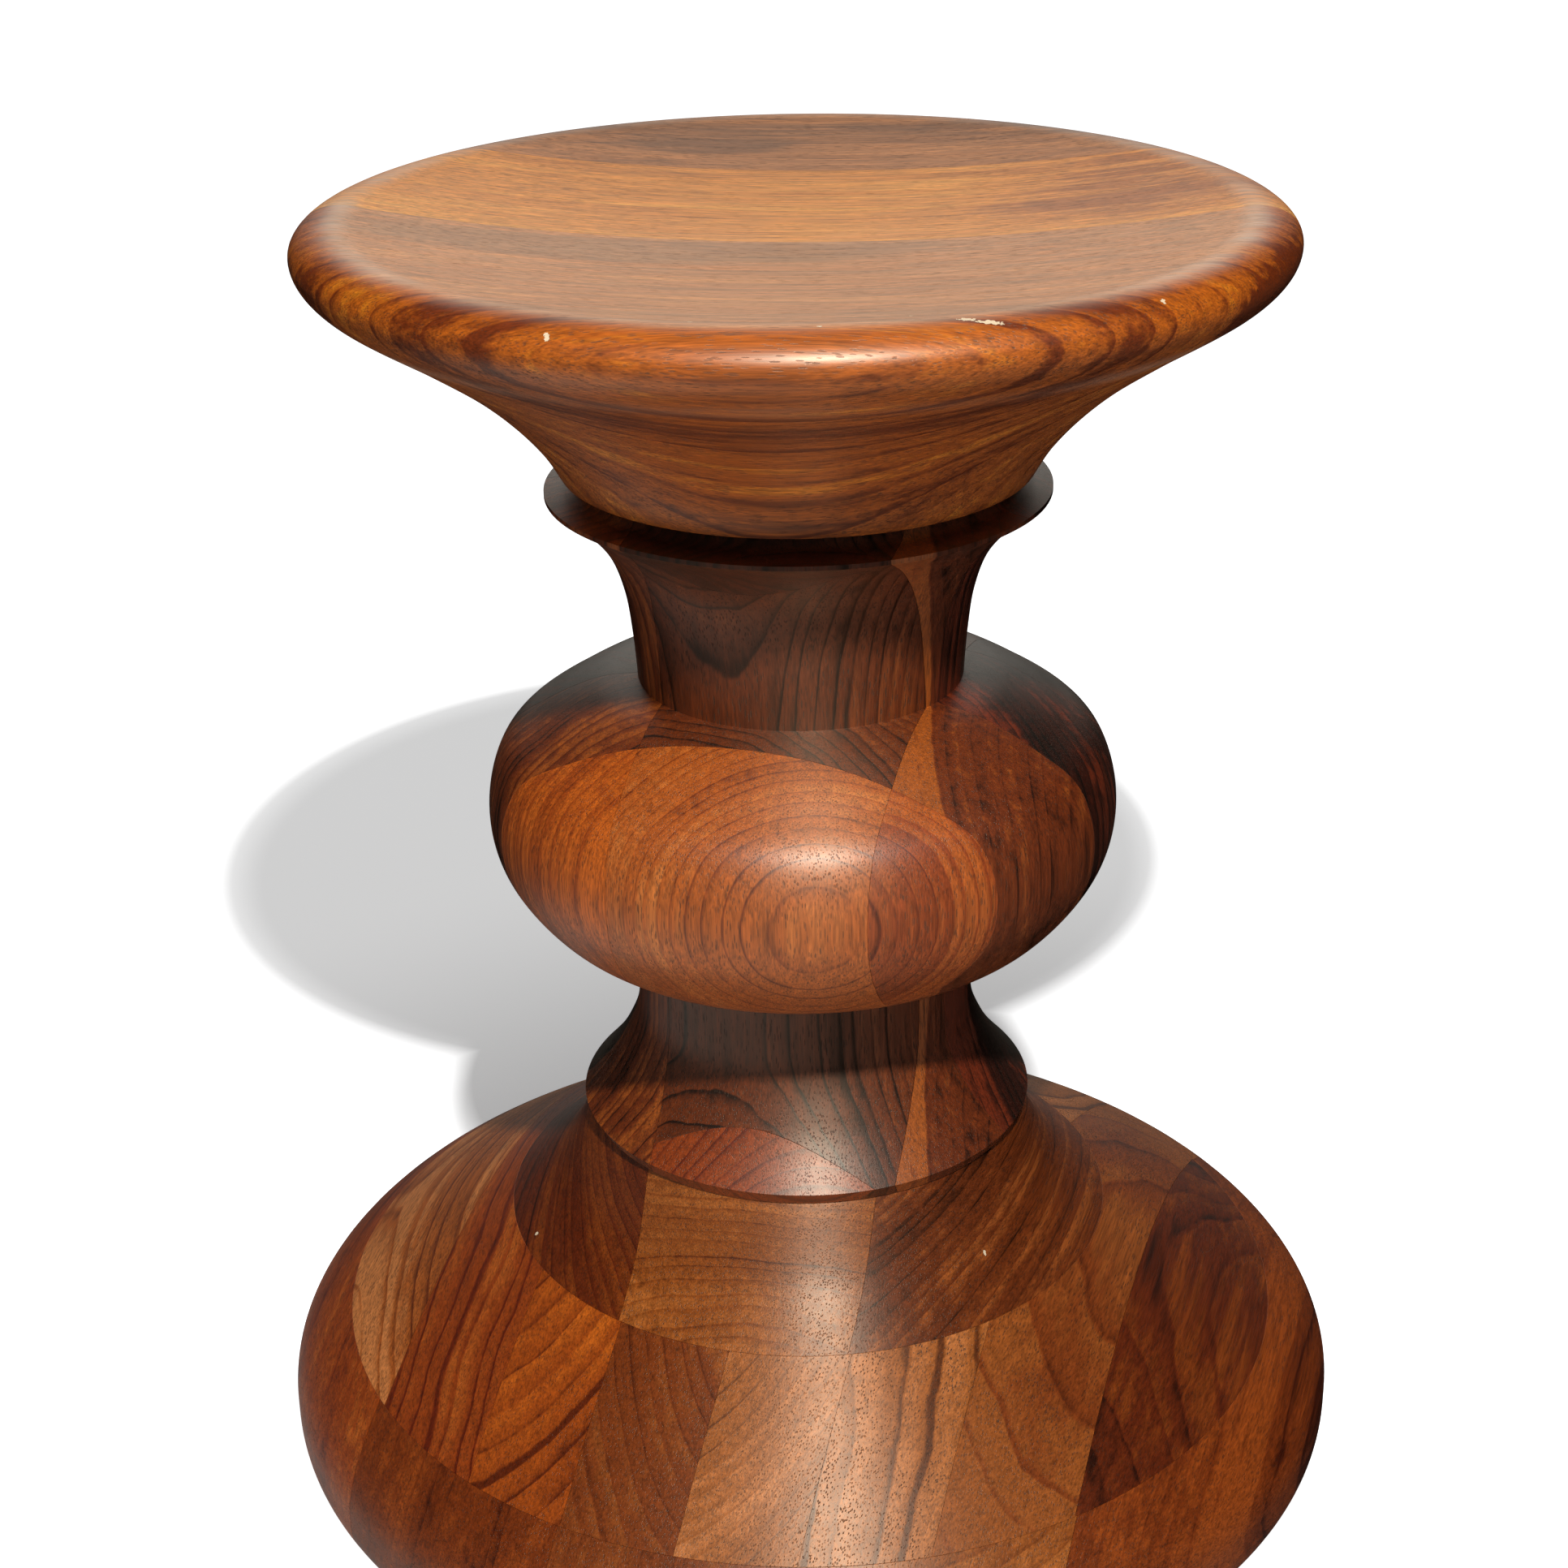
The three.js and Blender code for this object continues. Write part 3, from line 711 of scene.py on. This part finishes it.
BOARDS = {
    # The seat boards take a painted sheen, a pale reflection of the backdrop on what faces up
    "seat_front_board": figured(1, along_seat(-330, 372), "amber", 8.0, 3.0, 0.25, 0.6, 0.6, 0.9, 0.6,
                                sheen=0.5, wear=0.5),
    "seat_middle_board": figured(2, along_seat(330, 320), "golden", 3.4, 2.0, 0.12, 0.7, 0.5, 0.6, 0.42,
                                 sheen=0.14, wear=0.4),
    "seat_back_board": figured(3, along_seat(60, 300), "cocoa", 3.4, 3.0, 0.25, 0.9, 0.6, 0.9, 0.4,
                               sheen=0.16, wear=0.4),
    "stave_left_front": figured(4, along_stave(44, -146), "ginger", 2.8, 2.0, 0.3, 0.7, 0.5, 1.0, 0.25),
    "stave_left_fore": figured(5, along_stave(5, -134), "chestnut", 4.2, 4.0, 0.35, 0.8, 0.45, 0.8, 0.4),
    "stave_left_core": figured(6, along_stave(-10, 60), "dark", 4.0, 3.0, 0.3, 0.8, 0.4, 0.8, 0.4),
    "stave_left_rear": figured(7, along_stave(-90, -30), "umber", 4.0, 3.0, 0.3, 0.6, 0.4, 0.8, 0.5),
    "stave_left_back": figured(8, along_stave(-20, 20), "russet", 4.0, 3.0, 0.3, 0.6, 0.4, 0.8, 0.5),
    "stave_middle_front": figured(9, along_stave(48, -141), "orange", 3.5, 0.9, 0.28, 0.5, 0.35, 1.0, 0.5),
    "stave_middle_front_lip": figured(36, along_stave(48, -141), "copper", 3.5, 0.8, 0.3, 0.3,
                                      0.25, 1.0, 0.65),
    # The flange island is the front stave's wood made darker: painted shade under the seat
    "stave_middle_front_flange": figured(37, along_stave(48, -141), "maroon", 3.5, 0.8, 0.3, 0.3,
                                         0.25, 1.0, 0.75),
    "stave_middle_fore": figured(10, along_stave(-25, -123), "umber", 4.6, 4.5, 0.32, 0.4, 0.35, 1.2, 0.65),
    "stave_middle_core": figured(11, along_stave(0, 90), "umber", 4.0, 3.0, 0.3, 0.6, 0.4, 0.8, 0.5),
    "stave_middle_rear": figured(12, along_stave(20, -60), "russet", 4.0, 4.0, 0.3, 0.6, 0.4, 0.8, 0.5),
    "stave_middle_back": figured(13, along_stave(-10, 10), "nut", 4.2, 3.0, 0.3, 0.5, 0.4, 0.8, 0.5),
    "stave_right_front": figured(14, along_stave(50, -144), "copper", 3.4, 1.2, 0.35, 0.6, 0.4, 1.0, 0.4),
    "stave_right_fore": figured(15, along_stave(128.4, -10), "chestnut", 4.0, 2.0, 0.15, 0.6, 0.6, 0.9, 0.55,
                                sap=85.6),
    "stave_right_core": figured(16, along_stave(-30, -110), "dark", 4.0, 3.0, 0.3, 1.0, 0.5, 0.8, 0.4),
    "stave_right_rear": figured(17, along_stave(80, -40), "dark", 4.0, 3.0, 0.3, 0.8, 0.4, 0.8, 0.4),
    "stave_right_back": figured(18, along_stave(10, 10), "copper", 4.0, 3.0, 0.3, 0.6, 0.4, 0.8, 0.5),
    "bell_bottom_board_1": figured(19, along_bell(-250, 10), "copper", 3.2, 3.0, 0.15, 0.8, 0.5, 0.8, 0.5),
    "bell_bottom_board_2": figured(20, along_bell(-240, 50), "russet", 3.0, 2.0, 0.15, 0.7, 0.5, 0.8, 0.45),
    "bell_bottom_board_3": figured(21, along_bell(190, 30), "nut", 3.0, 2.0, 0.15, 0.5, 0.4, 0.9, 0.45),
    "bell_bottom_board_4": figured(22, along_bell(70, 110), "tan", 5.0, 3.0, 0.25, 0.5, 0.3, 0.9, 0.35),
    "bell_bottom_board_5": figured(23, along_bell(260, 20), "russet", 3.4, 3.0, 0.2, 1.0, 0.6, 0.8, 0.4),
    "bell_middle_board_1": figured(24, along_bell(-125, 8), "peach", 5.0, 3.0, 0.45, 0.9, 0.4, 0.9, 0.3),
    "bell_middle_board_2": figured(25, along_bell(-150, 36), "copper", 6.0, 6.0, 0.45, 0.9, 0.3, 0.8, 0.6),
    "bell_middle_board_3": figured(26, along_bell(-100, 114), "ginger", 5.5, 2.0, 0.35, 0.7, 0.3, 0.8, 0.5),
    "bell_middle_board_4": figured(27, along_bell(40, 116), "nut", 4.6, 2.0, 0.3, 0.7, 0.3, 0.8, 0.45),
    "bell_middle_board_5": figured(28, along_bell(-14, 98), "rose", 3.4, 1.2, 0.25, 0.5, 0.25, 1.0, 0.4),
    "bell_middle_board_6": figured(29, along_bell(-15, 36), "rose", 9.0, 6.0, 0.5, 0.5, 0.25, 1.3, 0.42),
    "bell_middle_board_7": figured(30, along_bell(140, 120), "nut", 8.0, 4.0, 0.4, 0.9, 0.3, 1.0, 0.1),
    "bell_middle_board_8": figured(31, along_bell(20, -60), "maroon", 5.0, 3.0, 0.25, 0.9, 0.6, 0.7, 0.42),
    "bell_top_board_1": figured(32, along_bell(-5, 128), "maroon", 3.8, 2.0, 0.3, 0.7, 0.3, 0.8, 0.4),
    "bell_top_board_2": figured(33, along_bell(10, -20), "tan", 3.0, 2.0, 0.25, 0.5, 0.35, 1.0, 0.4),
    "bell_top_board_3": figured(34, along_bell(10, 150), "umber", 3.4, 2.0, 0.2, 0.6, 0.35, 0.9, 0.5),
    "dowels": figured(35, along_stave(60, 0), "golden", 3.0, 2.0, 0.2, 0.4, 0.3, 0.6, 0.4),
}

# Darker patches, some heartwood and some painted shade: the middle and half size of each patch in mm,
# and how much darker it is. On the seat front board, the patch by the seam is heartwood, and the two at the
# left and right ends of the rim are painted shade. The middle board's patch is painted shade on the right of
# the dish.
HEARTWOOD_AND_SHADE_PATCHES = {
    "seat_front_board": [((-40, -13, 377), (105, 17, 60), 0.75), ((126, -62, 368), (30, 66, 19), 0.8),
                         ((-126, -50, 368), (26, 52, 18), 0.4)],
    "seat_middle_board": [((100, 30, 378), (62, 50, 90), 0.45)],
    "seat_back_board": [((-26, 97, 382), (38, 10, 60), 0.8)],
}
PATCH_EDGE = (1.25, 0.6)
PATCH_GRAIN, PATCH_DETAIL, PATCH_RAGGED = 2.0, 2.0, 0.5

# Chips in the finish: the middle and half size of each in mm
CHIPS = {
    "seat_front_board": [
        ((40.0, -121.2, 384.5), (2.4, 0.9, 3.0)), ((45.2, -122.1, 384.2), (3.4, 1.0, 3.0)),
        ((-58.5, -121.5, 382.0), (0.7, 1.2, 3.0)), ((27.5, -112.0, 384.5), (0.9, 0.9, 2.0)),
        ((5.4, -125.8, 384.6), (0.8, 0.6, 2.0)), ((-24.9, -117.0, 384.6), (0.8, 0.6, 2.0)),
        ((88.6, -100.2, 382.8), (0.7, 0.8, 2.0)),
    ],
    "bell_top_board_1": [((-83.6, -31.5, 75.4), (0.7, 0.7, 0.7))],
    "bell_top_board_3": [((52.3, -58.8, 84.4), (0.6, 0.6, 1.6))],
}
CHIP_COLOUR = srgb(236, 214, 180)
CHIP_DETAIL, CHIP_RAGGED = 3.0, 2.2
CHIP_EDGE = (1.0, 0.8)
CHIP_DEPTH = 2.0


def satin_for(name):
    return next(satin for start, satin in SATINS.items() if name.startswith(start))


def darkened_by_heartwood_and_shade(tree, tone, patches):
    """The tone of a board, darker in the patches, some of heartwood and some of painted shade."""
    place = place_on_stool(tree)
    for centre, half, depth in patches:
        offset = vectors(tree, "DIVIDE", vectors(tree, "SUBTRACT", place, centre), half)
        ragged = noise(tree, scaled(tree, offset, PATCH_GRAIN), PATCH_DETAIL)
        edge = summed(tree, vectors(tree, "LENGTH", offset), product(tree, ragged, PATCH_RAGGED))
        tone = summed(tree, tone, eased(tree, edge, *PATCH_EDGE, 0.0, depth))
    return tone


def chipped(tree, chips):
    """1 where the finish is chipped to bare wood."""
    place = place_on_stool(tree)
    ragged = centred(tree, noise(tree, place, CHIP_DETAIL), CHIP_RAGGED)
    total = 0.0
    for centre, half in chips:
        offset = vectors(tree, "DIVIDE", vectors(tree, "SUBTRACT", place, centre), half)
        edge = summed(tree, vectors(tree, "LENGTH", offset), ragged)
        total = maths(tree, "MAXIMUM", total, eased(tree, edge, *CHIP_EDGE))
    return total


def new_tree(holder):
    holder.use_nodes = True
    holder.node_tree.nodes.clear()
    return holder.node_tree


def figure_node(tree, group, name, board):
    (place, turn), (pale, middle, dark) = board["pith"], TONES[board["tones"]]
    values = {"Pith": place, "Turn": turn, "Pale": pale, "Middle": middle, "Dark": dark}
    for key, value in board.items():
        if key not in ("pith", "tones"):
            values[key.capitalize()] = value
    # Heartwood and painted shade darken the tone in patches
    if name in HEARTWOOD_AND_SHADE_PATCHES:
        values["Tone"] = darkened_by_heartwood_and_shade(tree, board["tone"], HEARTWOOD_AND_SHADE_PATCHES[name])
    return add_node(tree, "ShaderNodeGroup", values, node_tree=group)


def walnut(name, group, board):
    material = bpy.data.materials.new("walnut_" + name)
    tree = new_tree(material)
    figure = figure_node(tree, group, name, board)
    colour, height = figure.outputs["Color"], figure.outputs["Height"]
    if name in CHIPS:
        chip = chipped(tree, CHIPS[name])
        colour = mixed_colour(tree, chip, colour, CHIP_COLOUR)
        height = maths(tree, "SUBTRACT", height, product(tree, chip, CHIP_DEPTH))
    satin = satin_for(name)
    bump = add_node(tree, "ShaderNodeBump", {
        "Height": height, "Strength": 1.0, "Distance": BUMP_DEPTH * MM})
    finish = add_node(tree, "ShaderNodeBsdfPrincipled", {
        "Base Color": colour, "Roughness": summed(tree, figure.outputs["Roughness"], satin["roughness"]),
        "Normal": bump.outputs["Normal"], "IOR": GLOSS_IOR,
        "Specular IOR Level": satin["level"], "Specular Tint": GLOSS_TINT,
        "Anisotropic": satin["stretch"], "Anisotropic Rotation": satin["turn"],
        "Tangent": figure.outputs["Tangent"],
        "Coat Weight": satin["lacquer"], "Coat Roughness": satin["lacquer_roughness"],
        "Coat Tint": LACQUER_TINT, "Coat Normal": bump.outputs["Normal"],
    })
    output = tree.nodes.new("ShaderNodeOutputMaterial")
    tree.links.new(finish.outputs["BSDF"], output.inputs["Surface"])
    return material


shared_figure = figure_group()
materials = {name: walnut(name, shared_figure, board) for name, board in BOARDS.items()}
ISLANDS = ("_lip", "_bulb", "_flange")


def material_for(node):
    if node in materials:
        return materials[node]
    for ending in ISLANDS:
        node = node.removesuffix(ending)
    return materials[node]


def dress(piece, node):
    """The piece stands for a node, in walnut, and goes with the stool."""
    piece.data.materials.clear()
    piece.data.materials.append(material_for(node))
    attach(piece, "root")
    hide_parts(node)


# Boards and staves

def seams_on(radius, shares):
    return [radius * share for share in shares]


def make_seat():
    section = turned("seat_section", seat_outline())
    hole = dowel_hole(seat_level)
    reach = SEAT_RADIUS + OVERRUN
    levels = (seat_level - OVERRUN, crest_level + OVERRUN)
    bays = bays_between(seams_on(SEAT_RADIUS, SEAT_SEAM_SHARES), reach)
    for place, bay in zip(("front", "middle", "back"), bays):
        cutter = block(SEAT_TURN, (-reach, reach), bay, levels)
        holes = () if place == "back" else (hole,)
        dress(cut_from(section, f"{place}_seat_board", cutter, holes), f"seat_{place}_board")
    bpy.data.objects.remove(hole)
    bpy.data.objects.remove(section)


def make_bell():
    section = turned("bell_section", bell_outline())
    hole = dowel_hole(spindle_level)
    reach = BASE_RADIUS + OVERRUN
    half = SEAM / 2
    layers = [
        ("bottom", BOTTOM_SEAM_SHARES, (-OVERRUN, middle_level - half)),
        ("middle", MIDDLE_SEAM_SHARES, (middle_level + half, top_level - half)),
        ("top", TOP_SEAM_SHARES, (top_level + half, spindle_level + OVERRUN)),
    ]
    for layer, shares, levels in layers:
        bays = bays_between(seams_on(BASE_RADIUS, shares), reach)
        for number, bay in enumerate(bays, 1):
            cutter = block(STAVE_TURN, bay, (-reach, reach), levels)
            holed = layer == "top" and bay[0] < 0 < bay[1]
            piece = cut_from(section, f"{layer}_bell_board_{number}", cutter, (hole,) if holed else ())
            dress(piece, f"bell_{layer}_board_{number}")
    bpy.data.objects.remove(hole)
    bpy.data.objects.remove(section)


ROWS = ("front", "fore", "core", "rear", "back")
LOW, HIGH = spindle_level - OVERRUN, seat_level + OVERRUN
ISLAND_LEVELS = {
    "lip": (LOW, bulb_level),
    "bulb": (bulb_level, neck_level),
    "flange": (neck_level, HIGH),
}
WITH_ISLANDS = {("middle", "front"), ("right", "rear")}


def stave_sections(column, row, rows):
    """The cutter sections for one place in the grid, by the ending of the piece's name. But for the
    middle column's front, the outermost blocks are on the bulb only, and the blocks next to them
    reach further out above and below it."""
    front, back = rows[row]
    is_front_middle = column == "middle" and row == 0
    if row in (0, len(rows) - 1) and not is_front_middle:
        low, high = ISLAND_LEVELS["bulb"]
        return {"": [(front, low), (back, low), (back, high), (front, high)]}
    wide_front = rows[0][0] if row == 1 and column != "middle" else front
    wide_back = rows[-1][1] if row == len(rows) - 2 else back
    low, high = bulb_level - SEAM, neck_level + SEAM
    whole = [(wide_front, LOW), (wide_back, LOW), (wide_back, low), (back, low), (back, high),
             (wide_back, high), (wide_back, HIGH), (wide_front, HIGH), (wide_front, high),
             (front, high), (front, low), (wide_front, low)]
    if (column, ROWS[row]) not in WITH_ISLANDS:
        return {"": [corner for i, corner in enumerate(whole) if corner != whole[i - 1]]}
    cut = {}
    for ending, (bottom, top) in ISLAND_LEVELS.items():
        near, far = (front, back) if ending == "bulb" else (wide_front, wide_back)
        cut["_" + ending] = [(near, bottom), (far, bottom), (far, top), (near, top)]
    return cut


def make_spindle():
    section = turned("spindle_section", spindle_outline())
    reach = BULB_RADIUS + OVERRUN
    columns = bays_between(seams_on(BULB_RADIUS, COLUMN_SEAM_SHARES), reach)
    rows = bays_between(seams_on(BULB_RADIUS, ROW_SEAM_SHARES), reach)
    for column, bay in zip(("left", "middle", "right"), columns):
        for row, row_name in enumerate(ROWS):
            # The core never shows
            if (column, row_name) == ("middle", "core"):
                continue
            for ending, shape in stave_sections(column, row, rows).items():
                cutter = prism(STAVE_TURN, bay, shape)
                piece = cut_from(section, f"{column}_{row_name}_stave{ending}", cutter)
                dress(piece, f"stave_{column}_{row_name}{ending}")
    bpy.data.objects.remove(section)


make_seat()
make_spindle()
make_bell()

# The pieces that never show stay the CAD's own solids
HIDDEN = {"stave_middle_core": "stave_middle_core", "base_dowel": "dowels", "seat_dowel": "dowels"}
for node, board in HIDDEN.items():
    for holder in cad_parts[node].material_slots:
        holder.material = materials[board]


# Studio: a small key light above the camera, a pale dome, and a white floor that keeps the shadow, with
# painted shadows and painted shade where its glow is held back.
# The floor and the backdrop are white in the picture, and in a gloss as far as they reach.

WHITE = (1, 1, 1, 1)
KEY_PLACE = (95, -775, 1105)
KEY_AIM = (0, 0, 200)
KEY_SIZE = 55
KEY_POWER = 12
DOME_STRENGTH = 0.18

# The backdrop that a gloss mirrors: its strength, and where it starts and is full, by how high and
# by how nearly straight back a ray points
BACKDROP_GLOSS = 0.65
BACKDROP_TOP = (0.75, 0.45)
BACKDROP_SIDE = (0.9, 0.985)

# The floor: the two painted shadows, the painted shade round the foot and the pool that a gloss mirrors
# are each a middle and two radii, where the glow starts and where it is full
FLOOR_HALF = 9000
FLOOR_BOUNCE = (0.85, 0.82, 0.78, 1.0)
SEAT_SHADOW = ((-51, 406, 0), (190, 228))
BULB_SHADOW = ((-24, 198, 0), (94, 128))
FOOT_SHADE = ((40, 0, 0), (150, 420))
FOOT_GLOW = (0.22, 0.45)
POOL = ((-190, -150, 0), (400, 110))
POOL_GLOSS = 0.5


def key_light():
    data = bpy.data.lights.new("key_light", "AREA")
    data.shape = "DISK"
    data.size = KEY_SIZE * MM
    data.energy = KEY_POWER
    light = bpy.data.objects.new("key_light", data)
    light.location = Vector(KEY_PLACE) * MM
    light.rotation_mode = "QUATERNION"
    light.rotation_quaternion = (Vector(KEY_AIM) - Vector(KEY_PLACE)).to_track_quat("-Z", "Y")
    bpy.context.scene.collection.objects.link(light)


def by_ray(tree, kind, lighting, mirrored, seen):
    """Ends a tree in one shader for the light that it casts, one for what a gloss mirrors and one
    for the camera."""
    path = add_node(tree, "ShaderNodeLightPath").outputs
    gloss = maths(tree, "MAXIMUM", path["Is Glossy Ray"], path["Is Transmission Ray"])
    blend = add_node(tree, "ShaderNodeMixShader", {0: gloss, 1: lighting, 2: mirrored}).outputs[0]
    blend = add_node(tree, "ShaderNodeMixShader", {0: path["Is Camera Ray"], 1: blend, 2: seen})
    output = tree.nodes.new(kind)
    tree.links.new(blend.outputs[0], output.inputs["Surface"])


def dome():
    world = bpy.data.worlds.new("dome")
    bpy.context.scene.world = world
    tree = new_tree(world)
    ray = add_node(tree, "ShaderNodeTexCoord").outputs["Generated"]
    level = vectors(tree, "NORMALIZE", flattened(tree, ray))
    behind = eased(tree, component(tree, level, "Y"), *BACKDROP_SIDE)
    low = eased(tree, component(tree, ray, "Z"), *BACKDROP_TOP, 0.0, BACKDROP_GLOSS)
    shades = [
        add_node(tree, "ShaderNodeBackground", {"Color": WHITE, "Strength": strength}).outputs[0]
        for strength in (DOME_STRENGTH, product(tree, behind, low), 1.0)
    ]
    by_ray(tree, "ShaderNodeOutputWorld", *shades)


def floor():
    half = FLOOR_HALF * MM
    made = new_object("floor", [(-half, -half, 0), (half, -half, 0), (half, half, 0), (-half, half, 0)],
                      [(0, 1, 2, 3)])
    material = bpy.data.materials.new("floor_white")
    tree = new_tree(material)
    place = place_on_stool(tree)

    def away(middle, radii, low=0.0, high=1.0):
        return eased(tree, vectors(tree, "DISTANCE", place, middle), *radii, low, high)

    def glowing(strength):
        return add_node(tree, "ShaderNodeEmission", {"Strength": strength}).outputs[0]

    def plain(colour):
        return add_node(tree, "ShaderNodeBsdfDiffuse", {"Color": colour}).outputs[0]
    # Painted shadows and painted shade: the glow is held back inside the seat's and the bulb's shadow
    # circles and round the foot
    lit = maths(tree, "MINIMUM", away(*SEAT_SHADOW), away(*BULB_SHADOW))
    glow = maths(tree, "MAXIMUM", lit, away(*FOOT_SHADE, *FOOT_GLOW))
    seen = add_node(tree, "ShaderNodeAddShader", {0: plain(WHITE), 1: glowing(glow)}).outputs[0]
    mirrored = glowing(away(*POOL, high=POOL_GLOSS))
    by_ray(tree, "ShaderNodeOutputMaterial", plain(FLOOR_BOUNCE), mirrored, seen)
    made.data.materials.append(material)


# Camera, where the photographer stood

CAMERA_PLACE = (0, -773.69, 559.61)
CAMERA_PITCH = math.radians(24.2186)
CAMERA_YAW = math.radians(-0.405)
CAMERA_ROLL = math.radians(0.959)
CAMERA_LENS = 65.4
CAMERA_SENSOR = 36
CLIP_NEAR, CLIP_FAR = 10, 100000


def camera():
    data = bpy.data.cameras.new("camera")
    data.lens = CAMERA_LENS
    data.sensor_width = CAMERA_SENSOR
    data.clip_start = CLIP_NEAR * MM
    data.clip_end = CLIP_FAR * MM
    forward = Vector((math.sin(CAMERA_YAW) * math.cos(CAMERA_PITCH),
                      math.cos(CAMERA_YAW) * math.cos(CAMERA_PITCH), -math.sin(CAMERA_PITCH)))
    level = Vector((math.cos(CAMERA_YAW), -math.sin(CAMERA_YAW), 0))
    below = forward.cross(level)
    right = math.cos(CAMERA_ROLL) * level + math.sin(CAMERA_ROLL) * below
    down = math.cos(CAMERA_ROLL) * below - math.sin(CAMERA_ROLL) * level
    turn = Matrix((right, -down, -forward)).transposed().to_4x4()
    made = bpy.data.objects.new("camera", data)
    made.matrix_world = Matrix.Translation(Vector(CAMERA_PLACE) * MM) @ turn
    bpy.context.scene.collection.objects.link(made)
    bpy.context.scene.camera = made


key_light()
dome()
floor()
camera()
bpy.context.scene.view_settings.view_transform = "Standard"
